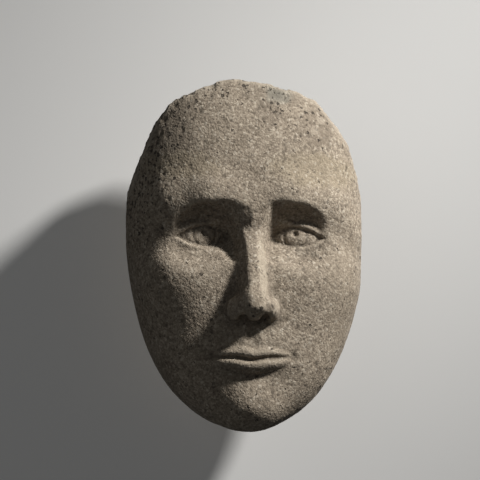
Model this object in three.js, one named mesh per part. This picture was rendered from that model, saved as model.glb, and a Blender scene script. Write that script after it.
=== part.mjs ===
// Carved stone face relief, one solid block with a flat back and a broken top edge.
// Millimetres, Z up. The face looks along -Y and the back plane lies at y = 0,
// with the origin in the middle of the back. The shapes are worked out from x, from the
// depth d forward of the back plane, and from the height z above the chin.
import * as THREE from "three";

// Overall sizes
const HEIGHT = 240;
const WIDTH = 165;
const BACK_BAND = 12;
const FRONT_RISE = 59;
const WIDEST_Z = 138;
const CROWN_REACH = 122;

// Powers of the block's curves: its outline above and below the widest height, its front,
// and what the front gains towards the chin
const ROUND_ABOVE = 2.4;
const ROUND_BELOW = 2.1;
const ROUND_FRONT = 2.15;
const CHIN_GAIN = 2.6;
const CHIN_FADE = 2.5;

// Proportions of the face
const THIRD = 73;
const EYE_Z = 1.75 * THIRD;
const NOSE_BASE_Z = THIRD;
const MOUTH_Z = (2 * THIRD) / 3;
const EYE_X = WIDTH / 5;
const MOUTH_HALF = 26;

// Below, a bump is written as its place, reach and rise, and a climb as its start, end and rise

// The nose stands a little off the middle, and the features slant a little
const NOSE_SHIFT = [84, 26, 0.8];
const SLANT = 0.01;

// Hollow across the face at the eyes, and the brow ridge from the middle outwards
const EYE_HOLLOW = [131, 14, 2.5];
const BROW = [
  { at: [0, 55.5, 148], r: 11 },
  { at: [27, 56.6, 156], r: 11 },
  { at: [49, 48.5, 151.5], r: 10 },
  { at: [65, 36, 136], r: 8 },
];
const BROW_SOFT = 4;
const BROW_JOIN = 8;
const BROW_ROUND = 16;

// Rounded masses: centre, radii, and the width of the rounding where each meets the rest.
// Cheeks and sockets are turned about a point of their own, given as x, height and slant.
const CHEEK_AT = [42, 98, 24];
const CHEEK = { centre: [0, 39, 0], radii: [27, 23, 22], round: 20 };
const MUZZLE = { centre: [0, 42, 53], radii: [33, 29.5, 26], round: 13 };
const CHIN = { centre: [0, 50.5, 20], radii: [21.5, 21.5, 17.5], round: 12 };
const SOCKET_AT = [33.5, 131, -6];
const SOCKET = { centre: [0, 73.5, 0], radii: [26.5, 18, 19], round: 2.4 };
const SOCKET_SOFT = [-6, 12, 11];

// Eyeball, lids and their almond opening, set out from the middle of each eye
const EYE_D = 42;
const EYE_YAW = 10;
const EYE_TILT = 2.5;
const EYE_HALF = WIDTH / 10;
const EYEBALL = { centre: [0, 0, 0], radii: [22.5, 16, 16] };
const LID = { centre: [0, 0.3, 0.2], radii: [24.8, 18.6, 18.4], round: 1.4 };
const LID_SOFT = [6, 12, 4];
const LID_EDGE = 1;
const LID_RISE = 7.4;
const LID_DROP = 5;
const RISE_LEAN = 2;
const DROP_LEAN = 2.5;
const OPENING_BACK = 2;
const OPENING_FLARE = 0.7;

// Incised ring of the iris and drilled pupil, both a little above the middle of the eye
const IRIS_R = 7.6;
const IRIS_UP = 1.8;
const IRIS_RING = [IRIS_R, 0.9, 0.6];
const PUPIL_R = 2.8;
const PUPIL_UP = 3.2;
const PUPIL_DRILL = [0, 2, 1.7];

// Ridge of the nose: its depth at root and tip, its run between them, and its flat top
const NASION_D = 68;
const NASION_Z = 134;
const NOSE_TIP_D = 91;
const RIDGE_RUN = 48;
const RIDGE_BEND = 0.006;
const RIDGE_PAST = 1.15;
const RIDGE_FLAT = 2.4;
const RIDGE_CROWN = 0.03;
const TIP_WIDE = [100, 88, 1];
const NOSE_ROUND = 6;
const NOSE_SCALE = 0.5;

// Root of the nose, which widens and sinks into the forehead
const ROOT_WIDE = [118, 148, 6];
const ROOT_SINK = [138, 160, 14];
const ROOT_SOFT = [126, 144, 4];
const ROOT_TOP = 158;
const ROOT_EDGE = 12;

// Planed flanks and the underside of the nose
const FLANK_SLOPE = 2;
const FLANK_EDGE = 5;
const TIP_SLOPE = [102, 86, 0.9];
const UNDER_RISE = 3.5;
const UNDER_SLOPE = 0.1;
const UNDER_D = 90;
const UNDER_EDGE = 9;

// Rounded tip, wings, the bridge between the nostrils, and the nostrils
const TIP = { centre: [0, 81, 84], radii: [10.6, 10.4, 9.6], round: 4 };
const WING = { centre: [11.2, 69, 80.5], radii: [6.6, 14.5, 8.6], round: 4.5 };
const COLUMELLA = { centre: [0, 78, 75.5], radii: [4, 9, 4.6], round: 2.5 };
const NOSTRIL = { centre: [7.4, 78.5, 72.2], radii: [3.4, 6.2, 4.8], round: 1.2 };

// Line between the lips, which dips in the middle and lifts at the corners
const LIP_D = 60;
const LIP_FADE = 10;
const LINE_DIP = [0, 7, -0.9];
const LINE_PEAK = [12, 6, 0.4];
const LINE_LIFT = 0.9;
const LIP_POINT = 2.3;
const LIP_EDGE = 1.8;

// Height, fullness, crest and foot of the upper and the lower lip
const UPPER_TALL = 6.6;
const UPPER_FULL = 3.6;
const UPPER_CREST = 0.36;
const UPPER_FOOT = 0.45;
const BOW_PEAK = [5.5, 3.5, 1];
const BOW_DIP = [0, 2.8, -0.7];
const UPPER_SWELL = [0, 6, 0.6];
const LOWER_TALL = 8.6;
const LOWER_FULL = 4.6;
const LOWER_CREST = 0.42;
const LOWER_FOOT = 0.35;
const LOWER_DIP = [0, 4, -0.3];

// How fast the lips' heights and fullness fade towards the corners
const UPPER_TAPER = 0.8;
const UPPER_THIN = 0.6;
const LOWER_TAPER = 0.7;

// Groove between the lips, corners of the mouth, philtrum, and fold above the chin
const GROOVE = [0, 1.7, 1.8];
const CORNER = [MOUTH_HALF, 3.6, 2];
const CORNER_TALL = 3.4;
const PHILTRUM = [0, 3, 1.5];
const PHILTRUM_RIM = [6, 2.2, -0.5];
const PHILTRUM_FOOT = [55, 60, 1];
const PHILTRUM_TOP = [76, 70, 1];
const FOLD = [0, 16, 1.4];
const FOLD_HEIGHT = [37.5, 4.5, 1];

// Colour and finish of the stone
const STONE = { color: 0x8f8371, roughness: 0.93, metalness: 0 };

// Broken edge round the crown, as x, height and forward lean of each fracture plane
const BREAK = [
  [-75.5, 182, 0.06],
  [-66, 207, 0.02],
  [-50, 226, 0.05],
  [-15.5, 240, 0.02],
  [6.5, 237, 0.04],
  [27.5, 234, 0.03],
  [51.5, 223.5, 0.02],
  [57, 216, 0.07],
  [72, 197, 0.04],
  [77.5, 180, 0],
];
const BREAK_EDGE = 2.5;

// Scars: a notch in the crown, a nick in the left side, and two bites under the chin
const SCARS = [
  { centre: [18, 59, 234], radii: [13, 8, 13], round: 1.5 },
  { centre: [-87.5, 14, 114], radii: [7, 9, 5], round: 1.5 },
  { centre: [-13, 78, -7], radii: [26, 17, 12], round: 1.5 },
  { centre: [-22, 64, 8], radii: [7, 7, 5], round: 1.5 },
];

// Grid of the surface: coarse cells, how often a cell may be halved, and how flat it must lie
const COARSE_U = 20;
const COARSE_V = 24;
const CELL = 8;
const FLATNESS = 0.52;
const SMALL_CELL_EASE = 1.4;

// Grid lines crowd over the face, the eyes and the mouth, in shares of the half outline
const CROWDING = 1.6;
const FACE_HALF = 0.42;
const FACE_MIDDLE = -0.22;
const FACE_TALL = 0.34;
const EYE_ROWS = [-0.05, 0.08, 0.8];
const MOUTH_ROWS = [-0.42, 0.07, 0.8];

// Areas that get the finest cells
const FINE_AREAS = [
  { x: EYE_X, z: EYE_Z, rx: 20, rz: 12 },
  { x: 0, z: MOUTH_Z, rx: 30, rz: 12 },
  { x: 0, z: NOSE_BASE_Z + 7, rx: 22, rz: 15 },
];

// Search along a line of sight: where it starts and ends, its steps, and the halvings after
const SHELL_POWER = 3;
const SIGHT_START = 0.8;
const SIGHT_SPAN = 0.2;
const SEARCH_BEYOND = 36;
const STEP_SHARE = 0.4;
const STEP_LEAST = 0.3;
const STEP_MOST = 12;
const HALVINGS = 18;

const clamp = (v, lo, hi) => Math.min(Math.max(v, lo), hi);
const bell = (v, w) => Math.exp(-((v / w) ** 2));

function ramp(v, lo, hi) {
  const t = clamp((v - lo) / (hi - lo), 0, 1);
  return t * t * (3 - 2 * t);
}

const bump = (v, [place, reach, rise]) => rise * bell(v - place, reach);
const climb = (v, [start, end, rise]) => rise * ramp(v, start, end);

// Rounded union and rounded cut of two fields, k is the width of the rounding
function join(a, b, k) {
  const h = Math.max(k - Math.abs(a - b), 0) / k;
  return Math.min(a, b) - h * h * k * 0.25;
}

const trim = (a, b, k) => -join(-a, -b, k);

function turn(a, b, degrees) {
  const r = (degrees * Math.PI) / 180;
  return [a * Math.cos(r) + b * Math.sin(r), b * Math.cos(r) - a * Math.sin(r)];
}

function ellipsoid(x, d, z, { centre: c, radii: r }) {
  const a = (x - c[0]) / r[0];
  const b = (d - c[1]) / r[1];
  const e = (z - c[2]) / r[2];
  const near = Math.hypot(a, b, e);
  const far = Math.hypot(a / r[0], b / r[1], e / r[2]);
  return (near * (near - 1)) / Math.max(far, 1e-6);
}

const add = (f, x, d, z, mass) => join(f, ellipsoid(x, d, z, mass), mass.round);
const cut = (f, x, d, z, mass) => trim(f, -ellipsoid(x, d, z, mass), mass.round);

function capsule(x, d, z, from, to) {
  const b = [to.at[0] - from.at[0], to.at[1] - from.at[1], to.at[2] - from.at[2]];
  const p = [x - from.at[0], d - from.at[1], z - from.at[2]];
  const along = p[0] * b[0] + p[1] * b[1] + p[2] * b[2];
  const t = clamp(along / (b[0] ** 2 + b[1] ** 2 + b[2] ** 2), 0, 1);
  const far = Math.hypot(p[0] - t * b[0], p[1] - t * b[1], p[2] - t * b[2]);
  return far - from.r - (to.r - from.r) * t;
}

// Egg-shaped front with an upright band behind it
function block(x, d, z) {
  const v = z - WIDEST_Z;
  const reach = v > 0 ? CROWN_REACH : WIDEST_Z;
  const q = v > 0 ? ROUND_ABOVE : ROUND_BELOW;
  const b = Math.abs(v) / reach;
  const rho = ((Math.abs(x) / (WIDTH / 2)) ** q + b ** q) ** (1 / q);
  const down = v > 0 ? 0 : b / Math.max(rho, 1e-6);
  const m = ROUND_FRONT + CHIN_GAIN * down ** CHIN_FADE;
  const f = Math.max(d - BACK_BAND, 0);
  const rise = FRONT_RISE - bump(z, EYE_HOLLOW);
  const g = Math.max((rho ** m + (f / rise) ** m) ** (1 / m), 1e-6);
  return (1 - 1 / g) * Math.hypot(x, f, v);
}

// Brow ridges, cheeks, muzzle and chin
function masses(x, d, z) {
  const bx = Math.sqrt(x * x + BROW_SOFT ** 2);
  const inner = capsule(bx, d, z, BROW[0], BROW[1]);
  const outer = capsule(bx, d, z, BROW[1], BROW[2]);
  const temple = capsule(bx, d, z, BROW[2], BROW[3]);
  const brow = join(join(inner, outer, BROW_JOIN), temple, BROW_JOIN);
  let f = join(block(x, d, z), brow, BROW_ROUND);
  const [cheekX, cheekZ, slant] = CHEEK_AT;
  const [cx, cz] = turn(Math.abs(x) - cheekX, z - cheekZ, slant);
  f = add(f, cx, d, cz, CHEEK);
  f = add(f, x, d, z, MUZZLE);
  return add(f, x, d, z, CHIN);
}

// Sockets, lids, almond openings, incised iris and drilled pupil
function eyes(f, x, d, z) {
  const ax = Math.abs(x);
  const [socketX, socketZ, slant] = SOCKET_AT;
  const [sx, sz] = turn(ax - socketX, z - socketZ, slant);
  const socket = ellipsoid(sx, d, sz, SOCKET);
  f = trim(f, -socket, SOCKET.round + climb(EYE_Z - z, SOCKET_SOFT));
  const [ex, ed] = turn(ax - EYE_X, d - EYE_D, EYE_YAW);
  const [tx, tz] = turn(ex, z - EYE_Z, EYE_TILT);
  const ball = ellipsoid(tx, ed, tz, EYEBALL);
  const lid = ellipsoid(tx, ed, tz, LID);
  const s = clamp(tx / EYE_HALF, -1, 1);
  const upper = (EYE_HALF ** 2 - LID_RISE ** 2) / (2 * LID_RISE);
  const lower = (EYE_HALF ** 2 - LID_DROP ** 2) / (2 * LID_DROP);
  const crest = tx + RISE_LEAN * (1 - s * s);
  const trough = tx - DROP_LEAN * (1 - s * s);
  const over = Math.hypot(crest, tz + upper) - Math.hypot(EYE_HALF, upper);
  const under = Math.hypot(trough, tz - lower) - Math.hypot(EYE_HALF, lower);
  const opening = Math.max(over, under, OPENING_BACK - ed) - OPENING_FLARE * Math.max(ball, 0);
  const ring = bump(Math.hypot(tx, tz - IRIS_UP), IRIS_RING);
  const hole = climb(PUPIL_R - Math.hypot(tx, tz - PUPIL_UP), PUPIL_DRILL);
  const eyeball = ball + ring + hole;
  f = join(f, lid, LID.round + climb(-tz, LID_SOFT));
  return trim(f, -Math.max(opening, -eyeball), LID_EDGE);
}

// Straight ridge with planed sides, rounded tip, wings and nostrils
function nose(f, x, d, z) {
  const ax = Math.abs(x);
  const along = (NASION_Z - z) / RIDGE_RUN;
  const fall = Math.min((along + Math.sqrt(along * along + RIDGE_BEND)) / 2, RIDGE_PAST);
  const ridge = NASION_D + (NOSE_TIP_D - NASION_D) * fall - climb(z, ROOT_SINK);
  const flat = RIDGE_FLAT + climb(z, ROOT_WIDE) + climb(z, TIP_WIDE);
  const off = Math.max(ax - flat, 0);
  const slope = FLANK_SLOPE + climb(z, TIP_SLOPE);
  const side = slope * (Math.sqrt(off * off + FLANK_EDGE ** 2) - FLANK_EDGE);
  const under = NOSE_BASE_Z + UNDER_RISE - z + UNDER_SLOPE * (UNDER_D - d);
  let body = (d - ridge + side + RIDGE_CROWN * ax * ax) * NOSE_SCALE;
  body = trim(body, under, UNDER_EDGE);
  body = trim(body, z - ROOT_TOP, ROOT_EDGE);
  f = join(f, body, NOSE_ROUND + climb(z, ROOT_SOFT));
  f = add(f, x, d, z, TIP);
  f = add(f, ax, d, z, WING);
  f = add(f, x, d, z, COLUMELLA);
  return cut(f, ax, d, z, NOSTRIL);
}

// Height of a lip from the line to its edge, with its crest between them
function swell(v, crest, foot) {
  if (v < crest) return 1 - (1 - foot) * ((crest - v) / crest) ** 2;
  return 1 - ((v - crest) / (1 - crest)) ** 2;
}

function lips(x, z) {
  const ax = Math.abs(x);
  const q = Math.min(ax / MOUTH_HALF, 1);
  const line = MOUTH_Z + bump(x, LINE_DIP) + bump(ax, LINE_PEAK) + LINE_LIFT * q ** 3;
  const taper = Math.max(1 - q ** LIP_POINT, 0);
  const bow = UPPER_TALL + bump(ax, BOW_PEAK) + bump(x, BOW_DIP);
  const above = clamp((z - line) / (LIP_EDGE + bow * taper ** UPPER_TAPER), 0, 1);
  const below = clamp((line - z) / (LIP_EDGE + LOWER_TALL * taper ** LOWER_TAPER), 0, 1);
  const upperFull = (UPPER_FULL + bump(x, UPPER_SWELL)) * taper ** UPPER_THIN;
  const lowerFull = (LOWER_FULL + bump(x, LOWER_DIP)) * taper ** LOWER_TAPER;
  const upper = upperFull * swell(above, UPPER_CREST, UPPER_FOOT);
  const lower = lowerFull * swell(below, LOWER_CREST, LOWER_FOOT);
  const groove = bump(z - line, GROOVE) * (1 - q ** 6);
  const corner = bump(ax, CORNER) * bell(z - line, CORNER_TALL);
  const furrow = bump(x, PHILTRUM) + bump(ax, PHILTRUM_RIM);
  const philtrum = furrow * climb(z, PHILTRUM_FOOT) * climb(z, PHILTRUM_TOP);
  const fold = bump(x, FOLD) * bump(z, FOLD_HEIGHT);
  return (z > line ? upper : lower) - groove - corner - philtrum - fold;
}

// Fracture planes between neighbouring points of the broken edge
const FRACTURES = BREAK.slice(1).map(([x1, z1], i) => {
  const [x0, z0, lean] = BREAK[i];
  const s = Math.hypot(z1 - z0, x1 - x0) * Math.hypot(1, lean);
  return [x0, z0, (z0 - z1) / s, lean / Math.hypot(1, lean), (x1 - x0) / s];
});

// Field of the whole stone, negative inside
function stone(x, d, z) {
  const fx = x - bump(z, NOSE_SHIFT);
  const fz = z + SLANT * x;
  let f = masses(fx, d, fz);
  f = eyes(f, fx, d, fz);
  f = nose(f, fx, d, fz);
  f -= lips(fx, fz) * ramp(d, LIP_D - LIP_FADE, LIP_D);
  for (const [px, pz, nx, nd, nz] of FRACTURES) {
    f = trim(f, (x - px) * nx + d * nd + (z - pz) * nz, BREAK_EDGE);
  }
  for (const scar of SCARS) f = cut(f, x, d, z, scar);
  return f;
}

// Even steps become closer together where the weight is high
function spread(steps, weight) {
  const fine = 2000;
  const sum = [0];
  for (let i = 0; i < fine; i += 1) {
    sum.push(sum[i] + weight(-1 + (2 * i + 1) / fine));
  }
  const out = [];
  let at = 0;
  for (let k = 0; k <= steps; k += 1) {
    const goal = (sum[fine] * k) / steps;
    while (at < fine - 1 && sum[at + 1] < goal) at += 1;
    out.push(-1 + (2 * (at + (goal - sum[at]) / (sum[at + 1] - sum[at]))) / fine);
  }
  return out;
}

const NU = COARSE_U * CELL;
const NV = COARSE_V * CELL;
const ACROSS = spread(NU, (u) => 1 + CROWDING * Math.exp(-((u / FACE_HALF) ** 4)));
const UPWARD = spread(NV, (v) => {
  const front = CROWDING * Math.exp(-(((v - FACE_MIDDLE) / FACE_TALL) ** 4));
  return 1 + front + bump(v, EYE_ROWS) + bump(v, MOUTH_ROWS);
});

// Line of sight for a grid point: from the back plane out through an egg-shaped shell
function sightLine(i, j) {
  const u = ACROSS[i];
  const v = UPWARD[j];
  const px = u * Math.sqrt(1 - (v * v) / 2);
  const pz = v * Math.sqrt(1 - (u * u) / 2);
  const r = Math.max(Math.hypot(px, pz), 1e-9);
  const edge = i === 0 || j === 0 || i === NU || j === NV;
  const angle = (edge ? 1 : Math.min(r, 1)) * (Math.PI / 2);
  const s = Math.sin(angle);
  const c = edge ? 0 : Math.cos(angle);
  const round = (s ** SHELL_POWER + c ** SHELL_POWER) ** (1 / SHELL_POWER);
  const q = pz > 0 ? ROUND_ABOVE : ROUND_BELOW;
  const norm = (Math.abs(px / r) ** q + Math.abs(pz / r) ** q) ** (1 / q);
  const rho = s / round / norm / r;
  const x = (WIDTH / 2) * rho * px;
  const v0 = (pz > 0 ? CROWN_REACH : WIDEST_Z) * rho * pz;
  const d = ((BACK_BAND + FRONT_RISE) * c) / round;
  const from = [SIGHT_START * x, 0, WIDEST_Z + SIGHT_START * v0];
  const way = [SIGHT_SPAN * x, d, SIGHT_SPAN * v0];
  const reach = Math.hypot(...way);
  return { from, way: way.map((w) => w / reach), reach };
}

// Outermost point of the stone on the line, found by walking in and halving
const found = new Map();

function pointAt(i, j) {
  const key = i * (NV + 1) + j;
  if (found.has(key)) return found.get(key);
  const { from, way, reach } = sightLine(i, j);
  const at = (t) => [from[0] + way[0] * t, from[1] + way[1] * t, from[2] + way[2] * t];
  let out = reach + SEARCH_BEYOND;
  let inside = out;
  while (inside > 1) {
    const f = stone(...at(inside));
    if (f < 0) break;
    out = inside;
    inside -= clamp(STEP_SHARE * f, STEP_LEAST, STEP_MOST);
  }
  for (let k = 0; k < HALVINGS; k += 1) {
    const mid = (inside + out) / 2;
    if (stone(...at(mid)) < 0) inside = mid;
    else out = mid;
  }
  const point = at((inside + out) / 2);
  found.set(key, point);
  return point;
}

// Cells are halved until their middle and edges lie flat enough
const sizeAt = Array.from({ length: NU }, () => new Array(NV).fill(0));

function mark(i, j, size) {
  for (let a = i; a < i + size; a += 1) {
    sizeAt[a].fill(size, j, j + size);
  }
}

function gap(a, b, c) {
  const m = [0, 1, 2].map((k) => (a[k] + b[k]) / 2 - c[k]);
  return Math.hypot(...m);
}

// Finest cell allowed for the eyes, mouth and nose tip, and coarser ones elsewhere
function limits([x, , z]) {
  const near = (a) => Math.hypot((Math.abs(x) - a.x) / a.rx, (z - a.z) / a.rz) < 1;
  return FINE_AREAS.some(near) ? [1, 2] : [2, CELL];
}

function divide(i, j, size) {
  const a = pointAt(i, j);
  const b = pointAt(i + size, j);
  const c = pointAt(i, j + size);
  const d = pointAt(i + size, j + size);
  const half = size / 2;
  let split = false;
  if (size > 1) {
    const middle = pointAt(i + half, j + half);
    const [least, most] = limits(middle);
    const bend = Math.max(
      gap(a, d, middle),
      gap(b, c, middle),
      gap(a, b, pointAt(i + half, j)),
      gap(a, c, pointAt(i, j + half)),
      gap(b, d, pointAt(i + size, j + half)),
      gap(c, d, pointAt(i + half, j + size)),
    );
    const allowed = size === 2 ? FLATNESS * SMALL_CELL_EASE : FLATNESS;
    split = size > most || (size > least && bend > allowed);
  }
  if (!split) {
    mark(i, j, size);
    return;
  }
  divide(i, j, half);
  divide(i + half, j, half);
  divide(i, j + half, half);
  divide(i + half, j + half, half);
}

for (let i = 0; i < NU; i += CELL) {
  for (let j = 0; j < NV; j += CELL) divide(i, j, CELL);
}

// Smallest cell beyond each edge of a cell
function beyond(i, j, size) {
  const least = [size, size, size, size];
  for (let k = 0; k < size; k += 1) {
    if (j > 0) least[0] = Math.min(least[0], sizeAt[i + k][j - 1]);
    if (i + size < NU) least[1] = Math.min(least[1], sizeAt[i + size][j + k]);
    if (j + size < NV) least[2] = Math.min(least[2], sizeAt[i + k][j + size]);
    if (i > 0) least[3] = Math.min(least[3], sizeAt[i - 1][j + k]);
  }
  return least;
}

// Neighbouring cells differ by one halving at most
for (let changed = true; changed; ) {
  changed = false;
  for (let i = 0; i < NU; i += 1) {
    for (let j = 0; j < NV; j += 1) {
      const size = sizeAt[i][j];
      if (size < 4 || i % size || j % size) continue;
      if (Math.min(...beyond(i, j, size)) >= size / 2) continue;
      const half = size / 2;
      mark(i, j, half);
      mark(i + half, j, half);
      mark(i, j + half, half);
      mark(i + half, j + half, half);
      changed = true;
    }
  }
}

// Triangles of the carved side
const positions = [];
const numbers = new Map();
const faces = [];

function vertex(i, j) {
  const key = i * (NV + 1) + j;
  if (!numbers.has(key)) {
    const [x, d, z] = pointAt(i, j);
    numbers.set(key, positions.length / 3);
    positions.push(x, -d, z - HEIGHT / 2);
  }
  return numbers.get(key);
}

for (let i = 0; i < NU; i += 1) {
  for (let j = 0; j < NV; j += 1) {
    const size = sizeAt[i][j];
    if (i % size || j % size) continue;
    const half = size / 2;
    const least = beyond(i, j, size);
    const ring = [vertex(i, j)];
    if (least[0] < size) ring.push(vertex(i + half, j));
    ring.push(vertex(i + size, j));
    if (least[1] < size) ring.push(vertex(i + size, j + half));
    ring.push(vertex(i + size, j + size));
    if (least[2] < size) ring.push(vertex(i + half, j + size));
    ring.push(vertex(i, j + size));
    if (least[3] < size) ring.push(vertex(i, j + half));
    if (ring.length === 4) {
      const p = ring.map((n) => positions.slice(3 * n, 3 * n + 3));
      const first = Math.hypot(p[0][0] - p[2][0], p[0][1] - p[2][1], p[0][2] - p[2][2]);
      const second = Math.hypot(p[1][0] - p[3][0], p[1][1] - p[3][1], p[1][2] - p[3][2]);
      if (first < second) faces.push([ring[0], ring[1], ring[2]], [ring[0], ring[2], ring[3]]);
      else faces.push([ring[0], ring[1], ring[3]], [ring[1], ring[2], ring[3]]);
    } else {
      const middle = vertex(i + half, j + half);
      ring.forEach((n, k) => faces.push([middle, n, ring[(k + 1) % ring.length]]));
    }
  }
}

// Flat back, closed over the outline
const rim = [];
for (let i = 0; i < NU; i += 1) if (numbers.has(i * (NV + 1))) rim.push(vertex(i, 0));
for (let j = 0; j < NV; j += 1) if (numbers.has(NU * (NV + 1) + j)) rim.push(vertex(NU, j));
for (let i = NU; i > 0; i -= 1) if (numbers.has(i * (NV + 1) + NV)) rim.push(vertex(i, NV));
for (let j = NV; j > 0; j -= 1) if (numbers.has(j)) rim.push(vertex(0, j));
for (const n of rim) positions[3 * n + 1] = 0;
const outline = rim.map((n) => new THREE.Vector2(positions[3 * n], positions[3 * n + 2]));
for (const [a, b, c] of THREE.ShapeUtils.triangulateShape(outline, [])) {
  faces.push([rim[a], rim[c], rim[b]]);
}

const geometry = new THREE.BufferGeometry();
geometry.setAttribute("position", new THREE.Float32BufferAttribute(positions, 3));
geometry.setIndex(faces.flat());
geometry.computeVertexNormals();

const face = new THREE.Mesh(geometry, new THREE.MeshStandardMaterial(STONE));
face.name = "stone_face";

const group = new THREE.Group();
group.name = "face_relief";
group.add(face);

export default group;
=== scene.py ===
import math

import bpy
import numpy as np
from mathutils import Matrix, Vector


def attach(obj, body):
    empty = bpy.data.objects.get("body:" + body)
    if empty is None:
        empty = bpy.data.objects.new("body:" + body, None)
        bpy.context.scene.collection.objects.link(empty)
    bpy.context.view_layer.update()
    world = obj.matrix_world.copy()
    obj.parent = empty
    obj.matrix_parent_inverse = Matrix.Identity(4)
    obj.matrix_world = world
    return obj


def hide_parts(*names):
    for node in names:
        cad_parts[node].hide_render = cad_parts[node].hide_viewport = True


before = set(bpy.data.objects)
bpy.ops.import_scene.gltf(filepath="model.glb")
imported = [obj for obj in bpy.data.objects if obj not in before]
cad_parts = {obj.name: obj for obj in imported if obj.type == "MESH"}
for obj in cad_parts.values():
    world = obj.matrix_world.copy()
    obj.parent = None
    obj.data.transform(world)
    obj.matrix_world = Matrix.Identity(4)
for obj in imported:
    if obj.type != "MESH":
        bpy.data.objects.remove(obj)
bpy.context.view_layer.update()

# Carved stone face relief, dressed with its weathered sandstone surface.
# The form is worked out in millimetres: x to the right, d forward of the back
# plane, z up from the chin. The scene itself is in metres.

HEIGHT = 240.0
WIDTH = 165.0
BACK_BAND = 12.0
FRONT_RISE = 59.0
WIDEST_Z = 138.0
CROWN_REACH = 122.0

THIRD = 73.0
EYE_Z = 1.75 * THIRD
NOSE_BASE_Z = THIRD
MOUTH_Z = 2 * THIRD / 3
CHIN_Z = 20.0
EYE_X = WIDTH / 5
MOUTH_HALF = 26.0

NASION_D = 68.0
NOSE_TIP_D = 91.0
EYE_D = 42.0
LIP_D = 60.0

EYE_YAW = 10.0
EYE_TILT = 2.5
EYE_HALF = WIDTH / 10
LID_RISE = 7.4
LID_DROP = 5.0
IRIS_R = 7.6
PUPIL_R = 2.8

# Broken edge round the crown: x, height and forward lean of each fracture plane
BREAK = (
    (-75.5, 182, 0.06),
    (-66, 207, 0.02),
    (-50, 226, 0.05),
    (-15.5, 240, 0.02),
    (6.5, 237, 0.04),
    (27.5, 234, 0.03),
    (51.5, 223.5, 0.02),
    (57, 216, 0.07),
    (72, 197, 0.04),
    (77.5, 180, 0),
)

# Scars: centre x, depth, height, then the three radii of the bite
SCARS = (
    (18, 59, 234, 13, 8, 13),
    (-87.5, 14, 114, 7, 9, 5),
    (-13, 78, -7, 26, 17, 12),
    (-22, 64, 8, 7, 7, 5),
)

# Height of the sand grain that is carried by the mesh
GRAIN = 0.12

# Grid of the carved side and of the plainer back
COLUMNS = 280
ROWS = 320
BACK_STEP = 4


def bell(v, w):
    return np.exp(-((v / w) ** 2))


def ramp(v, lo, hi):
    t = np.clip((v - lo) / (hi - lo), 0, 1)
    return t * t * (3 - 2 * t)


def join(a, b, k):
    h = np.maximum(k - np.abs(a - b), 0) / k
    return np.minimum(a, b) - h * h * k * 0.25


def trim(a, b, k):
    return -join(-a, -b, k)


def turn(a, b, degrees):
    r = math.radians(degrees)
    return a * math.cos(r) + b * math.sin(r), b * math.cos(r) - a * math.sin(r)


def ellipsoid(x, d, z, c, r):
    a, b, e = (x - c[0]) / r[0], (d - c[1]) / r[1], (z - c[2]) / r[2]
    near = np.sqrt(a * a + b * b + e * e)
    far = np.sqrt((a / r[0]) ** 2 + (b / r[1]) ** 2 + (e / r[2]) ** 2)
    return near * (near - 1) / np.maximum(far, 1e-6)


def capsule(x, d, z, start, end, r0, r1):
    b = [end[k] - start[k] for k in range(3)]
    p = [x - start[0], d - start[1], z - start[2]]
    along = p[0] * b[0] + p[1] * b[1] + p[2] * b[2]
    t = np.clip(along / (b[0] ** 2 + b[1] ** 2 + b[2] ** 2), 0, 1)
    far = np.sqrt((p[0] - t * b[0]) ** 2 + (p[1] - t * b[1]) ** 2 + (p[2] - t * b[2]) ** 2)
    return far - r0 - (r1 - r0) * t


# Egg-shaped front with an upright band behind it
def block(x, d, z):
    v = z - WIDEST_Z
    reach = np.where(v > 0, CROWN_REACH, WIDEST_Z)
    q = np.where(v > 0, 2.4, 2.1)
    b = np.abs(v) / reach
    rho = ((np.abs(x) / (WIDTH / 2)) ** q + b**q) ** (1 / q)
    down = np.where(v > 0, 0, b / np.maximum(rho, 1e-6))
    m = 2.15 + 2.6 * down**2.5
    f = np.maximum(d - BACK_BAND, 0)
    rise = FRONT_RISE - 2.5 * bell(z - 131, 14)
    g = np.maximum((rho**m + (f / rise) ** m) ** (1 / m), 1e-6)
    return (1 - 1 / g) * np.sqrt(x * x + f * f + v * v)


# Brow ridges, cheeks, muzzle and chin
def masses(x, d, z):
    ax = np.abs(x)
    bx = np.sqrt(x * x + 16)
    inner = capsule(bx, d, z, (0, 55.5, 148), (27, 56.6, 156), 11, 11)
    outer = capsule(bx, d, z, (27, 56.6, 156), (49, 48.5, 151.5), 11, 10)
    temple = capsule(bx, d, z, (49, 48.5, 151.5), (65, 36, 136), 10, 8)
    f = join(block(x, d, z), join(join(inner, outer, 8), temple, 8), 16)
    cx, cz = turn(ax - 42, z - 98, 24)
    f = join(f, ellipsoid(cx, d, cz, (0, 39, 0), (27, 23, 22)), 20)
    f = join(f, ellipsoid(x, d, z, (0, 42, 53), (33, 29.5, 26)), 13)
    return join(f, ellipsoid(x, d, z, (0, 50.5, CHIN_Z), (21.5, 21.5, 17.5)), 12)


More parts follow.
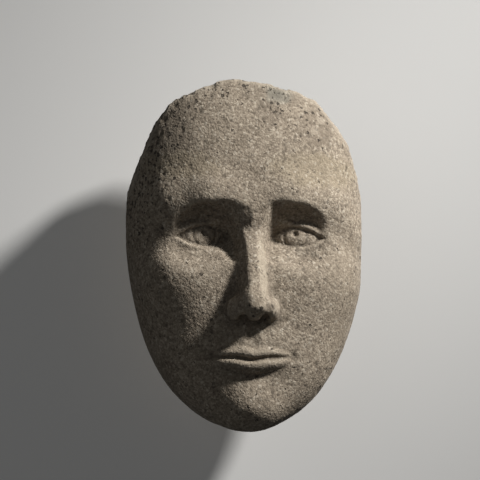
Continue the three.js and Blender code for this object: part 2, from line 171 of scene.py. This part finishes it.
# Sockets, lids, almond openings, incised iris and drilled pupil
def eyes(f, x, d, z):
    ax = np.abs(x)
    sx, sz = turn(ax - 33.5, z - 131, -6)
    socket = ellipsoid(sx, d, sz, (0, 73.5, 0), (26.5, 18, 19))
    f = trim(f, -socket, 2.4 + 11 * ramp(EYE_Z - z, -6, 12))
    ex, ed = turn(ax - EYE_X, d - EYE_D, EYE_YAW)
    tx, tz = turn(ex, z - EYE_Z, EYE_TILT)
    ball = ellipsoid(tx, ed, tz, (0, 0, 0), (22.5, 16, 16))
    lid = ellipsoid(tx, ed, tz, (0, 0.3, 0.2), (24.8, 18.6, 18.4))
    s = np.clip(tx / EYE_HALF, -1, 1)
    upper = (EYE_HALF**2 - LID_RISE**2) / (2 * LID_RISE)
    lower = (EYE_HALF**2 - LID_DROP**2) / (2 * LID_DROP)
    over = np.hypot(tx + 2 * (1 - s * s), tz + upper) - math.hypot(EYE_HALF, upper)
    under = np.hypot(tx - 2.5 * (1 - s * s), tz - lower) - math.hypot(EYE_HALF, lower)
    opening = np.maximum(np.maximum(over, under), 2 - ed) - 0.7 * np.maximum(ball, 0)
    iris = np.hypot(tx, tz - 1.8)
    pupil = np.hypot(tx, tz - 3.2)
    eyeball = ball + 0.6 * bell(iris - IRIS_R, 0.9) + 1.7 * ramp(PUPIL_R - pupil, 0, 2)
    f = join(f, lid, 1.4 + 4 * ramp(-tz, 6, 12))
    return trim(f, -np.maximum(opening, -eyeball), 1.0)


# Straight ridge with planed sides, rounded tip, wings and nostrils
def nose(f, x, d, z):
    ax = np.abs(x)
    along = (134 - z) / 48
    fall = np.minimum((along + np.sqrt(along * along + 0.006)) / 2, 1.15)
    ridge = NASION_D + (NOSE_TIP_D - NASION_D) * fall - 14 * ramp(z, 138, 160)
    flat = 2.4 + 6 * ramp(z, 118, 148) + ramp(100 - z, 0, 12)
    off = np.maximum(ax - flat, 0)
    side = (2 + 0.9 * ramp(102 - z, 0, 16)) * (np.sqrt(off * off + 25) - 5)
    body = (d - ridge + side + 0.03 * ax * ax) * 0.5
    body = trim(body, NOSE_BASE_Z + 3.5 - z + 0.1 * (90 - d), 9)
    body = trim(body, z - 158, 12)
    f = join(f, body, 6 + 4 * ramp(z, 126, 144))
    f = join(f, ellipsoid(x, d, z, (0, 81, 84), (10.6, 10.4, 9.6)), 4)
    f = join(f, ellipsoid(ax, d, z, (11.2, 69, 80.5), (6.6, 14.5, 8.6)), 4.5)
    f = join(f, ellipsoid(x, d, z, (0, 78, 75.5), (4, 9, 4.6)), 2.5)
    return trim(f, -ellipsoid(ax, d, z, (7.4, 78.5, 72.2), (3.4, 6.2, 4.8)), 1.2)


# Height of the lips, the groove between them, the corners and the philtrum
def swell(v, peak, foot):
    low = 1 - (1 - foot) * (np.clip(peak - v, 0, 1) / peak) ** 2
    high = 1 - (np.clip(v - peak, 0, 1) / (1 - peak)) ** 2
    return np.where(v < peak, low, high)


def lips(x, z):
    ax = np.abs(x)
    q = np.minimum(ax / MOUTH_HALF, 1)
    line = MOUTH_Z - 0.9 * bell(x, 7) + 0.4 * bell(ax - 12, 6) + 0.9 * q**3
    taper = np.maximum(1 - q**2.3, 0)
    bow = 6.6 + bell(ax - 5.5, 3.5) - 0.7 * bell(x, 2.8)
    above = np.clip((z - line) / (1.8 + bow * taper**0.8), 0, 1)
    below = np.clip((line - z) / (1.8 + 8.6 * taper**0.7), 0, 1)
    upper = (3.6 + 0.6 * bell(x, 6)) * taper**0.6 * swell(above, 0.36, 0.45)
    lower = (4.6 - 0.3 * bell(x, 4)) * taper**0.7 * swell(below, 0.42, 0.35)
    groove = 1.8 * bell(z - line, 1.7) * (1 - q**6)
    corner = 2 * bell(ax - MOUTH_HALF, 3.6) * bell(z - line, 3.4)
    hollow = (1.5 * bell(x, 3) - 0.5 * bell(ax - 6, 2.2)) * ramp(z, 55, 60) * ramp(76 - z, 0, 6)
    fold = 1.4 * bell(x, 16) * bell(z - 37.5, 4.5)
    return np.where(z > line, upper, lower) - groove - corner - hollow - fold


def fracture_planes():
    planes = []
    for (x0, z0, lean), (x1, z1, _) in zip(BREAK[:-1], BREAK[1:]):
        s = math.hypot(z1 - z0, x1 - x0) * math.hypot(1, lean)
        planes.append((x0, z0, (z0 - z1) / s, lean / math.hypot(1, lean), (x1 - x0) / s))
    return planes


FRACTURES = fracture_planes()


def broken(x, d, z):
    far = np.full_like(x, -1e3)
    for px, pz, nx, nd, nz in FRACTURES:
        far = np.maximum(far, (x - px) * nx + d * nd + (z - pz) * nz)
    return far


# Field of the whole stone, negative inside
def stone(p):
    x, d, z = p[:, 0], p[:, 1], p[:, 2]
    fx = x - 0.8 * bell(z - 84, 26)
    fz = z + 0.01 * x
    f = masses(fx, d, fz)
    f = eyes(f, fx, d, fz)
    f = nose(f, fx, d, fz)
    f = f - lips(fx, fz) * ramp(d, LIP_D - 10, LIP_D)
    for px, pz, nx, nd, nz in FRACTURES:
        f = trim(f, (x - px) * nx + d * nd + (z - pz) * nz, 2.5)
    for cx, cd, cz, rx, rd, rz in SCARS:
        f = trim(f, -ellipsoid(x, d, z, (cx, cd, cz), (rx, rd, rz)), 1.5)
    return f


# Even steps become closer together where the weight is high
def spread(steps, weight):
    fine = np.linspace(-1, 1, 2001)
    w = weight((fine[:-1] + fine[1:]) / 2)
    total = np.concatenate([[0], np.cumsum(w)])
    return np.interp(np.linspace(0, total[-1], steps + 1), total, fine)


def across(u):
    return 1 + 1.5 * np.exp(-((u / 0.42) ** 4))


def upward(v):
    front = 1.3 * np.exp(-(((v + 0.22) / 0.34) ** 4))
    return 1 + front + 0.6 * bell(v + 0.05, 0.08) + 0.6 * bell(v + 0.42, 0.07)


# Lines of sight from the back plane out through an egg-shaped shell
def sight_lines():
    u, v = np.meshgrid(spread(COLUMNS, across), spread(ROWS, upward))
    px = u * np.sqrt(1 - v * v / 2)
    pz = v * np.sqrt(1 - u * u / 2)
    r = np.maximum(np.hypot(px, pz), 1e-9)
    edge = np.zeros(r.shape, bool)
    edge[0], edge[-1], edge[:, 0], edge[:, -1] = True, True, True, True
    angle = np.where(edge, 1.0, np.minimum(r, 1)) * math.pi / 2
    s = np.sin(angle)
    c = np.where(edge, 0.0, np.cos(angle))
    rounding = (s**3 + c**3) ** (1 / 3)
    q = np.where(pz > 0, 2.4, 2.1)
    norm = (np.abs(px / r) ** q + np.abs(pz / r) ** q) ** (1 / q)
    rho = s / rounding / norm / r
    x = WIDTH / 2 * rho * px
    rise = np.where(pz > 0, CROWN_REACH, WIDEST_Z) * rho * pz
    d = (BACK_BAND + FRONT_RISE) * c / rounding
    start = np.stack([0.8 * x, 0 * x, WIDEST_Z + 0.8 * rise], -1).reshape(-1, 3)
    way = np.stack([0.2 * x, d, 0.2 * rise], -1).reshape(-1, 3)
    reach = np.linalg.norm(way, axis=1)
    return start, way / reach[:, None], reach, edge.reshape(-1), px, pz


# Outermost point of the stone on every line, found by walking in and halving
def trace(start, way, reach):
    out = reach + 36
    at = out.copy()
    inside = np.full(len(at), np.nan)
    live = np.arange(len(at))
    while len(live):
        f = stone(start[live] + way[live] * at[live, None])
        hit = (f < 0) | (at[live] < 1)
        inside[live[hit]] = at[live[hit]]
        live, f = live[~hit], f[~hit]
        out[live] = at[live]
        at[live] -= np.clip(0.4 * f, 0.3, 12)
    for _ in range(14):
        mid = (inside + out) / 2
        solid = stone(start + way * mid[:, None]) < 0
        inside = np.where(solid, mid, inside)
        out = np.where(solid, out, mid)
    return start + way * ((inside + out) / 2)[:, None]


def gradient(p, f):
    g = np.empty_like(p)
    for k in range(3):
        step = np.zeros(3)
        step[k] = 0.15
        g[:, k] = (stone(p + step) - f) / 0.15
    return g


# Evens out the grid on steep walls and lays it back on the stone's surface
def relax(p, edge, shape):
    for _ in range(6):
        grid = p.reshape(*shape, 3)
        even = grid.copy()
        even[1:-1, 1:-1] = (grid[:-2, 1:-1] + grid[2:, 1:-1] + grid[1:-1, :-2] + grid[1:-1, 2:]) / 4
        q = (0.4 * grid + 0.6 * even).reshape(-1, 3)
        for _ in range(2):
            f = stone(q)
            g = gradient(q, f)
            size = np.maximum((g * g).sum(1), 0.04)
            q = q - np.clip(f / size, -2, 2)[:, None] * g
        q[:, 1] = np.maximum(q[:, 1], 0.5)
        p = np.where(edge[:, None], p, q)
    return p


def mix_bits(ix, iy, iz, seed):
    with np.errstate(over="ignore"):
        h = ix.astype(np.uint32) * np.uint32(73856093)
        h = h ^ (iy.astype(np.uint32) * np.uint32(19349663))
        h = h ^ (iz.astype(np.uint32) * np.uint32(83492791))
        h = h ^ np.uint32((seed * 2654435761) & 0xFFFFFFFF)
        h = (h ^ (h >> np.uint32(13))) * np.uint32(1274126177)
        h = h ^ (h >> np.uint32(16))
        h = h * np.uint32(2246822519)
        h = h ^ (h >> np.uint32(15))
    return h.astype(np.float64) / 4294967295.0


# Smooth noise from -1 to 1 with lumps about size millimetres apart
def lumps(p, size, seed):
    t = p / size
    base = np.floor(t).astype(np.int64)
    w = t - base
    w = w * w * (3 - 2 * w)
    total = 0
    for dx in (0, 1):
        for dy in (0, 1):
            for dz in (0, 1):
                corner = mix_bits(base[:, 0] + dx, base[:, 1] + dy, base[:, 2] + dz, seed)
                wx = w[:, 0] if dx else 1 - w[:, 0]
                wy = w[:, 1] if dy else 1 - w[:, 1]
                wz = w[:, 2] if dz else 1 - w[:, 2]
                total = total + corner * wx * wy * wz
    return 2 * total - 1


# Round pits scattered through space, at most one in each cell
def pits(p, cell, share, seed):
    base = np.floor(p / cell).astype(np.int64)
    deepest = np.zeros(len(p))
    for dx in (-1, 0, 1):
        for dy in (-1, 0, 1):
            for dz in (-1, 0, 1):
                i = (base[:, 0] + dx, base[:, 1] + dy, base[:, 2] + dz)
                c = [(i[k] + mix_bits(*i, seed + 1 + k)) * cell for k in range(3)]
                far = sum((p[:, k] - c[k]) ** 2 for k in range(3))
                r = cell * (0.22 + 0.26 * mix_bits(*i, seed + 4))
                there = mix_bits(*i, seed + 5) < share
                deepest = np.maximum(deepest, np.where(there, 1 - far / (r * r), 0))
    return np.sqrt(np.clip(deepest, 0, 1))


def spot(p, x, z, rx, rz):
    return np.exp(-(((p[:, 0] - x) / rx) ** 2) - (((p[:, 2] - z) / rz) ** 2))


# Where pits crowd: the left and middle of the crown, the right temple and the nose tip
def pitted(p, lean):
    left = ramp(lean, -24, -7) * ramp(-p[:, 0], 8, 24)
    flank = spot(p, -64, 176, 11, 30)
    crown = 0.7 * spot(p, -4, 231, 5, 6) + 1.2 * spot(p, 17, 229, 11, 8)
    crown = crown + spot(p, 13, 211, 8, 9) + 0.7 * spot(p, 45, 208, 11, 13)
    tip = 0.8 * spot(p, 4, 80, 7, 6)
    ragged = 1 + 0.7 * lumps(p, 7, 18)
    return np.clip((left + flank + crown + tip) * ragged, 0, 1)


# How far each point sinks below the carved form, and what the surface is like there
def weather(p, n, edge):
    lean = broken(p[:, 0], p[:, 1], p[:, 2])
    fresh = ramp(lean, -3.5, -0.5)
    rim = ramp(0.7 - n[:, 1], 0, 0.4) * (1 - fresh)
    crowd = pitted(p, lean) * (1 - 0.5 * fresh)
    calm = 1 - 0.75 * np.clip(eye_area(p) + lip_area(p) + spot(p, 0, 146, 18, 14), 0, 1)
    broad = lumps(p, 26, 11) + 0.6 * lumps(p, 12, 12)
    grain = 0.5 * lumps(p, 4.2, 13) + 0.7 * lumps(p, 2.3, 14) + 0.6 * lumps(p, 1.4, 15)
    chips = np.maximum(lumps(p, 8, 16) - 0.2, 0) * 1.6
    small = pits(p, 4.2, 0.05 + 0.5 * crowd, 21)
    large = pits(p, 12, 0.01 + 0.35 * crowd, 31)
    nicks = pits(p, 9, 0.2, 61)
    sink = 0.24 * broad * (0.4 + 0.6 * calm) - GRAIN * grain * (0.5 + 0.5 * calm)
    sink = sink + calm * (0.55 * small + 0.8 * large)
    ragged = 1.7 * chips + 0.8 * lumps(p, 5, 17) + 0.5 * lumps(p, 2.6, 19)
    sink = sink + fresh * ragged + rim * (0.7 * chips + 1.2 * nicks)
    sink = sink + ridge_wear(p)
    sink = np.where(edge, 0, sink * ramp(p[:, 1], 0, 3))
    return sink, fresh, np.maximum(small, 0.8 * large), crowd


def eye_area(p):
    return np.exp(-((((np.abs(p[:, 0]) - EYE_X) / 19) ** 2) + ((p[:, 2] - EYE_Z) / 10) ** 2) ** 2)


def lip_area(p):
    return np.exp(-(((p[:, 0] / 27) ** 2) + ((p[:, 2] - MOUTH_Z) / 9) ** 2) ** 2)


# Rubbed and chipped places: the tip of the nose and the chin
def ridge_wear(p):
    tip = np.exp(-(((p[:, 0] - 2) / 8) ** 2) - ((p[:, 2] - 82) / 7) ** 2)
    rough = np.maximum(lumps(p, 5, 41), 0)
    return tip * (0.2 + 1.5 * rough) + 1.3 * rough * spot(p, -20, 13, 8, 6)


def normals_of(p, shape):
    grid = p.reshape(*shape, 3)
    du = np.empty_like(grid)
    dv = np.empty_like(grid)
    du[:, 1:-1] = grid[:, 2:] - grid[:, :-2]
    du[:, 0], du[:, -1] = grid[:, 1] - grid[:, 0], grid[:, -1] - grid[:, -2]
    dv[1:-1] = grid[2:] - grid[:-2]
    dv[0], dv[-1] = grid[1] - grid[0], grid[-1] - grid[-2]
    n = np.cross(dv, du)
    return (n / np.maximum(np.linalg.norm(n, axis=-1, keepdims=True), 1e-9)).reshape(-1, 3)


def blur(values, shape, times):
    g = values.reshape(shape).copy()
    for _ in range(times):
        g[1:-1, 1:-1] = (
            2 * g[1:-1, 1:-1] + g[:-2, 1:-1] + g[2:, 1:-1] + g[1:-1, :-2] + g[1:-1, 2:]
        ) / 6
    return g.reshape(-1)


# Convex places come out positive and hollow ones negative, at the reach given
def curving(p, n, shape, times):
    soft = np.stack([blur(p[:, k], shape, times) for k in range(3)], 1)
    return ((p - soft) * n).sum(1)


def carve_front():
    start, way, reach, edge, px, pz = sight_lines()
    shape = px.shape
    p = trace(start, way, reach)
    p[edge, 1] = 0
    p = relax(p, edge, shape)
    n = normals_of(p, shape)
    if (n[:, 1] * ~edge).sum() < 0:
        n = -n
    form = curving(p, n, shape, 24)
    sink, fresh, holes, crowd = weather(p, n, edge)
    q = p - n * sink[:, None]
    q[:, 1] = np.maximum(q[:, 1], 0)
    fine = curving(q, n, shape, 3)
    # The hollow mark is painted shade: darker in concave places, in the small hollows of the grain and
    # in the pits
    return q, shape, px, pz, {
        "hollow": np.clip(-form * 0.8 - fine * 3.5 + 0.5 * holes, 0, 1),
        "worn": np.clip(form * 0.5 + fine * 2, 0, 1),
        "fresh": fresh,
        "crowd": crowd,
    }


# Plainer back: the same outline, dressed flat with shallow claw strokes
def carve_back(front, shape, px, pz):
    rows, cols = shape
    index = np.arange(rows * cols).reshape(shape)
    ring = np.concatenate([index[0, :-1], index[:-1, -1], index[-1, :0:-1], index[:0:-1, 0]])
    around = np.arctan2(pz.reshape(-1)[ring], px.reshape(-1)[ring])
    order = np.argsort(around)
    around, outline = around[order], front[ring[order]]
    around = np.concatenate([around - 2 * math.pi, around, around + 2 * math.pi])
    outline = np.concatenate([outline, outline, outline])
    bx, bz = px[::BACK_STEP, ::BACK_STEP], pz[::BACK_STEP, ::BACK_STEP]
    r = np.hypot(bx, bz).reshape(-1)
    at = np.arctan2(bz, bx).reshape(-1)
    rim = np.stack([np.interp(at, around, outline[:, k]) for k in (0, 2)], 1)
    middle = np.array([0.0, 125.0])
    flat = middle + r[:, None] * (rim - middle)
    p = np.stack([flat[:, 0], 0 * r, flat[:, 1]], 1)
    slant = p[:, 0] * 0.8 + p[:, 2] * 0.6
    wander = 6 * lumps(p, 40, 51)
    stroke = np.abs(np.sin((slant + wander) / 2.6)) ** 3
    depth = 0.9 * stroke * (0.5 + 0.5 * lumps(p, 18, 52)) + 0.8 * np.maximum(lumps(p, 11, 53), 0)
    p[:, 1] = depth * ramp(1 - r, 0, 0.06)
    return p, bx.shape


def assemble():
    front, shape, px, pz, marks = carve_front()
    back, back_shape = carve_back(front, shape, px, pz)
    rows, cols = shape
    index = np.arange(rows * cols).reshape(shape)
    a, b = index[:-1, :-1].reshape(-1), index[:-1, 1:].reshape(-1)
    c, d = index[1:, 1:].reshape(-1), index[1:, :-1].reshape(-1)
    faces = np.stack([a, b, c, d], 1).tolist()
    brows, bcols = back_shape
    number = {}
    extra = []
    base = rows * cols

    def back_vertex(i, j):
        if i in (0, brows - 1) or j in (0, bcols - 1):
            return int(index[i * BACK_STEP, j * BACK_STEP])
        key = i * bcols + j
        if key not in number:
            number[key] = base + len(extra)
            extra.append(back[key])
        return number[key]

    def edge_run(i0, j0, i1, j1):
        on_rim = (i0 == i1 and i0 in (0, brows - 1)) or (j0 == j1 and j0 in (0, bcols - 1))
        run = [back_vertex(i0, j0)]
        if on_rim:
            for k in range(1, BACK_STEP):
                i = i0 * BACK_STEP + (i1 - i0) * k
                j = j0 * BACK_STEP + (j1 - j0) * k
                run.append(int(index[i, j]))
        return run

    for i in range(brows - 1):
        for j in range(bcols - 1):
            loop = edge_run(i, j, i + 1, j) + edge_run(i + 1, j, i + 1, j + 1)
            loop += edge_run(i + 1, j + 1, i, j + 1) + edge_run(i, j + 1, i, j)
            faces.append(loop)
    points = np.concatenate([front, np.array(extra)])
    # The back takes an even quarter of the hollow mark, the painted shade, and none of the other marks
    for key in marks:
        marks[key] = np.concatenate([marks[key], np.full(len(extra), 0.25 if key == "hollow" else 0.0)])
    co = np.stack([points[:, 0], -points[:, 1], points[:, 2] - HEIGHT / 2], 1) / 1000
    return co, faces, marks


def build_face():
    co, faces, marks = assemble()
    mesh = bpy.data.meshes.new("stone_face_carved")
    mesh.from_pydata(co.tolist(), [], faces)
    mesh.validate()
    for key, values in marks.items():
        layer = mesh.attributes.new(key, "FLOAT", "POINT")
        layer.data.foreach_set("value", values.astype(np.float32))
    mesh.shade_smooth()
    obj = bpy.data.objects.new("carved_stone_face", mesh)
    bpy.context.scene.collection.objects.link(obj)
    return obj


# Node helpers
def node(tree, kind, inputs=None, **settings):
    n = tree.nodes.new(kind)
    for key, value in settings.items():
        setattr(n, key, value)
    for key, value in (inputs or {}).items():
        if isinstance(value, bpy.types.NodeSocket):
            tree.links.new(value, n.inputs[key])
        else:
            n.inputs[key].default_value = value
    return n


def blend_colour(tree, factor, first, second, mode="MIX"):
    n = node(tree, "ShaderNodeMix", data_type="RGBA", blend_type=mode)
    for socket, value in ((n.inputs[0], factor), (n.inputs[6], first), (n.inputs[7], second)):
        if isinstance(value, bpy.types.NodeSocket):
            tree.links.new(value, socket)
        elif isinstance(value, tuple):
            socket.default_value = (*value, 1)
        else:
            socket.default_value = value
    return n.outputs[2]


def maths(tree, operation, a, b=0.0, clamp=False):
    n = node(tree, "ShaderNodeMath", operation=operation, use_clamp=clamp)
    for socket, value in ((n.inputs[0], a), (n.inputs[1], b)):
        if isinstance(value, bpy.types.NodeSocket):
            tree.links.new(value, socket)
        else:
            socket.default_value = value
    return n.outputs[0]


def noise(tree, place, scale, detail=2.0, rough=0.5):
    return node(
        tree,
        "ShaderNodeTexNoise",
        {"Vector": place, "Scale": scale, "Detail": detail, "Roughness": rough},
    ).outputs["Fac"]


def window(tree, value, lo, hi):
    n = node(
        tree,
        "ShaderNodeMapRange",
        {"Value": value, "From Min": lo, "From Max": hi},
        interpolation_type="SMOOTHSTEP",
    )
    return n.outputs["Result"]


# Soft round patch of the surface, by its place in metres
def patch(tree, place, x, z, rx, rz, ragged):
    shift = node(tree, "ShaderNodeMapping", {"Vector": place})
    shift.inputs["Location"].default_value = (-x / rx, 0, -z / rz)
    shift.inputs["Scale"].default_value = (1 / rx, 0, 1 / rz)
    far = node(tree, "ShaderNodeVectorMath", {0: shift.outputs[0]}, operation="LENGTH")
    rim = maths(tree, "ADD", far.outputs["Value"], maths(tree, "MULTIPLY", ragged, 0.9))
    return window(tree, rim, 1.65, 1.1)


def weighted(tree, parts, start):
    total = start
    for value, share in parts:
        total = maths(tree, "ADD", total, maths(tree, "MULTIPLY", value, share))
    return total


def sandstone():
    material = bpy.data.materials.new("sandstone")
    material.use_nodes = True
    tree = material.node_tree
    shader = tree.nodes["Principled BSDF"]
    place = node(tree, "ShaderNodeTexCoord").outputs["Object"]
    hollow, worn, fresh, crowd = (
        node(tree, "ShaderNodeAttribute", attribute_name=name).outputs["Fac"]
        for name in ("hollow", "worn", "fresh", "crowd")
    )

    broad = noise(tree, place, 22, 3, 0.55)
    mottle = noise(tree, place, 120, 3, 0.6)
    grain = noise(tree, place, 640, 2, 0.65)
    fine = noise(tree, place, 1500, 1, 0.5)
    cells = node(tree, "ShaderNodeTexVoronoi", {"Vector": place, "Scale": 600}, feature="F1")
    single = node(tree, "ShaderNodeSeparateColor", {"Color": cells.outputs["Color"]})
    wander = node(tree, "ShaderNodeTexNoise", {"Vector": place, "Scale": 520, "Detail": 1})
    bent = node(
        tree,
        "ShaderNodeVectorMath",
        {0: wander.outputs["Color"], 1: (0.003, 0.003, 0.003), 2: place},
        operation="MULTIPLY_ADD",
    )
    dots = node(tree, "ShaderNodeTexVoronoi", {"Vector": bent.outputs[0], "Scale": 400}, feature="F1")
    chosen = node(tree, "ShaderNodeSeparateColor", {"Color": dots.outputs["Color"]})
    chance = weighted(tree, [(chosen.outputs[1], 1), (crowd, 0.5), (mottle, 0.3)], 0.0)
    reach = weighted(tree, [(dots.outputs["Distance"], 1), (chosen.outputs[0], 0.3)], 0.0)
    pit = maths(tree, "MULTIPLY", window(tree, reach, 0.64, 0.38), window(tree, chance, 1.08, 1.16))

    parts = [(broad, 0.35), (mottle, 0.5), (grain, 1.5), (fine, 0.9), (single.outputs[0], 0.4)]
    tone = weighted(tree, parts, -1.325)
    ramp_node = node(tree, "ShaderNodeValToRGB", {"Fac": tone})
    ramp_node.color_ramp.elements[0].color = (0.125, 0.1, 0.075, 1)
    ramp_node.color_ramp.elements[1].color = (0.5, 0.436, 0.346, 1)
    for at, colour in ((0.35, (0.23, 0.19, 0.144, 1)), (0.62, (0.315, 0.263, 0.202, 1))):
        step = ramp_node.color_ramp.elements.new(at)
        step.color = colour
    colour = ramp_node.outputs["Color"]

    for x, z, rx, rz, tint, share in STAINS:
        area = patch(tree, place, x, z, rx, rz, mottle)
        area = maths(tree, "MULTIPLY", area, share)
        colour = blend_colour(tree, area, colour, tint, "MIX")
    pale = maths(tree, "MULTIPLY", window(tree, single.outputs[1], 0.93, 0.97), 0.5)
    dark = maths(tree, "MULTIPLY", window(tree, single.outputs[2], 0.92, 0.96), 0.55)
    colour = blend_colour(tree, pale, colour, (0.52, 0.465, 0.38))
    colour = blend_colour(tree, dark, colour, (0.1, 0.083, 0.065))
    colour = blend_colour(tree, maths(tree, "MULTIPLY", fresh, 0.45), colour, (0.46, 0.405, 0.33))
    colour = blend_colour(tree, maths(tree, "MULTIPLY", worn, 0.4), colour, (0.42, 0.362, 0.283))
    # Painted shade: the hollows and the pits darkened
    colour = blend_colour(tree, maths(tree, "MULTIPLY", hollow, 0.5), colour, (0.09, 0.074, 0.056))
    # Painted shade: near-black inside the pits, which also sink the bump below
    colour = blend_colour(tree, maths(tree, "MULTIPLY", pit, 0.85), colour, (0.045, 0.037, 0.03))
    tree.links.new(colour, shader.inputs["Base Color"])

    rough = node(tree, "ShaderNodeMapRange", {"Value": grain, "To Min": 0.82, "To Max": 1.0})
    tree.links.new(rough.outputs["Result"], shader.inputs["Roughness"])
    shader.inputs["Specular IOR Level"].default_value = 0.25

    parts = [(grain, 0.9), (fine, 0.35), (cells.outputs["Distance"], -0.45), (mottle, 0.8), (pit, -0.9)]
    height = weighted(tree, parts, 0.0)
    coarse = maths(tree, "MULTIPLY", fresh, maths(tree, "MULTIPLY", grain, 0.5))
    height = maths(tree, "ADD", height, coarse)
    bump = node(tree, "ShaderNodeBump", {"Height": height, "Distance": 0.0006, "Strength": 0.9})
    tree.links.new(bump.outputs["Normal"], shader.inputs["Normal"])
    return material


# Stains and bare spots: x, z, radii in metres, colour, strength
STAINS = (
    (-0.0545, 0.089, 0.018, 0.026, (0.17, 0.141, 0.108), 0.45),
    (0.046, 0.053, 0.034, 0.013, (0.345, 0.287, 0.193), 0.35),
    (-0.046, 0.056, 0.026, 0.010, (0.315, 0.263, 0.18), 0.35),
    (0.046, 0.086, 0.016, 0.016, (0.20, 0.164, 0.125), 0.5),
    (0.049, 0.089, 0.0035, 0.003, (0.42, 0.364, 0.29), 0.5),
    (0.044, 0.081, 0.003, 0.0035, (0.41, 0.355, 0.28), 0.45),
    (0.016, 0.108, 0.021, 0.013, (0.185, 0.153, 0.117), 0.5),
    (0.013, 0.092, 0.010, 0.011, (0.18, 0.147, 0.113), 0.4),
    (0.0195, 0.1075, 0.010, 0.009, (0.225, 0.212, 0.175), 0.8),
    (0.027, 0.113, 0.004, 0.0035, (0.115, 0.125, 0.085), 0.7),
    (0.0065, -0.014, 0.0035, 0.022, (0.42, 0.362, 0.28), 0.6),
    (-0.004, -0.068, 0.03, 0.022, (0.21, 0.176, 0.134), 0.35),
    (0.064, -0.030, 0.016, 0.045, (0.25, 0.208, 0.155), 0.3),
)


def plain(name, colour, glow):
    material = bpy.data.materials.new(name)
    material.use_nodes = True
    tree = material.node_tree
    shader = tree.nodes["Principled BSDF"]
    place = node(tree, "ShaderNodeTexCoord").outputs["Object"]
    tint = blend_colour(tree, noise(tree, place, 3, 2), tuple(0.97 * c for c in colour), colour)
    tree.links.new(tint, shader.inputs["Base Color"])
    shader.inputs["Roughness"].default_value = 0.95
    shader.inputs["Specular IOR Level"].default_value = 0.1
    shader.inputs["Emission Color"].default_value = (*colour, 1)
    shader.inputs["Emission Strength"].default_value = glow
    return material, tree, shader


def rectangle(corner, first, second):
    c, a, b = Vector(corner), Vector(first), Vector(second)
    return [c, c + a, c + a + b, c + b], [(0, 1, 2, 3)]


def stage_mesh(name, corners, faces, material):
    mesh = bpy.data.meshes.new(name)
    mesh.from_pydata(corners, [], faces)
    mesh.shade_smooth()
    mesh.materials.append(material)
    obj = bpy.data.objects.new(name, mesh)
    bpy.context.scene.collection.objects.link(obj)
    obj.visible_shadow = False
    obj.visible_diffuse = False
    obj.visible_glossy = False
    return obj


PALE = (0.66, 0.66, 0.65)
WALL_Y = 0.055
FLOOR_Z = -0.5
REACH = 3.0
DOME_R = 4.0


# Ball round the studio, so that every view ends on a pale ground
def dome_mesh():
    rings, sides = 16, 32
    corners = []
    for i in range(rings + 1):
        up = math.pi * (i / rings - 0.5)
        for j in range(sides):
            a = 2 * math.pi * j / sides
            flat = DOME_R * math.cos(up)
            corners.append((flat * math.cos(a), flat * math.sin(a), DOME_R * math.sin(up)))
    faces = []
    for i in range(rings):
        for j in range(sides):
            k = (j + 1) % sides
            faces.append((i * sides + j, (i + 1) * sides + j, (i + 1) * sides + k, i * sides + k))
    return corners, faces


def build_stage():
    material, tree, shader = plain("pale_wall", PALE, 0.06)
    seen = node(tree, "ShaderNodeNewGeometry").outputs["Backfacing"]
    clear = node(tree, "ShaderNodeBsdfTransparent")
    mix = node(tree, "ShaderNodeMixShader", {0: seen, 1: shader.outputs[0], 2: clear.outputs[0]})
    tree.links.new(mix.outputs[0], tree.nodes["Material Output"].inputs["Surface"])
    along = (2 * REACH, 0, 0)
    wall = rectangle((-REACH, WALL_Y, FLOOR_Z), along, (0, 0, REACH))
    floor = rectangle((-REACH, -REACH, FLOOR_Z), along, (0, 2 * REACH, 0))
    stage_mesh("wall", *wall, material)
    stage_mesh("floor", *floor, plain("pale_floor", PALE, 0.8)[0])
    stage_mesh("dome", *dome_mesh(), plain("pale_dome", PALE, 1.0)[0])


# Lamp at a distance from the face, by its angle off the front and its turn clockwise from above
def lamp(name, off, clock, far, size, power, colour, spread=180):
    data = bpy.data.lights.new(name, "AREA")
    data.shape = "DISK"
    data.size = size
    data.energy = power
    data.color = colour
    data.spread = math.radians(spread)
    obj = bpy.data.objects.new(name, data)
    a, b = math.radians(off), math.radians(clock)
    way = Vector((math.sin(a) * math.sin(b), -math.cos(a), math.sin(a) * math.cos(b)))
    obj.location = Vector((0, -0.05, 0)) + way * far
    obj.rotation_euler = (-way).to_track_quat("-Z", "Y").to_euler()
    bpy.context.scene.collection.objects.link(obj)


def build_light():
    lamp("key", 65, 46, 1.4, 0.18, 2.45, (1.0, 0.98, 0.955), 50)
    lamp("fill", 35, -75, 1.6, 1.0, 1.2, (0.97, 0.985, 1.0))
    lamp("back_fill", 150, 60, 1.6, 1.2, 15, (1.0, 1.0, 1.0))
    world = bpy.data.worlds.new("studio")
    world.use_nodes = True
    background = world.node_tree.nodes["Background"]
    background.inputs[0].default_value = (0.9, 0.91, 0.92, 1)
    background.inputs[1].default_value = 0.06
    bpy.context.scene.world = world


def build_camera():
    data = bpy.data.cameras.new("camera")
    data.lens = 92
    data.dof.use_dof = False
    camera = bpy.data.objects.new("camera", data)
    bpy.context.scene.collection.objects.link(camera)
    azimuth, elevation, far = math.radians(-5), math.radians(-5), 0.832
    aim = Vector((-0.0052, -0.04, 0.0081))
    back = Vector(
        (
            math.sin(azimuth) * math.cos(elevation),
            -math.cos(azimuth) * math.cos(elevation),
            math.sin(elevation),
        )
    )
    camera.location = aim + back * far
    camera.rotation_mode = "QUATERNION"
    camera.rotation_quaternion = (-back).to_track_quat("-Z", "Y")
    bpy.context.scene.camera = camera


face = build_face()
face.data.materials.append(sandstone())
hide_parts("stone_face")
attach(face, "root")
build_stage()
build_light()
build_camera()
bpy.context.scene.view_settings.view_transform = "Standard"
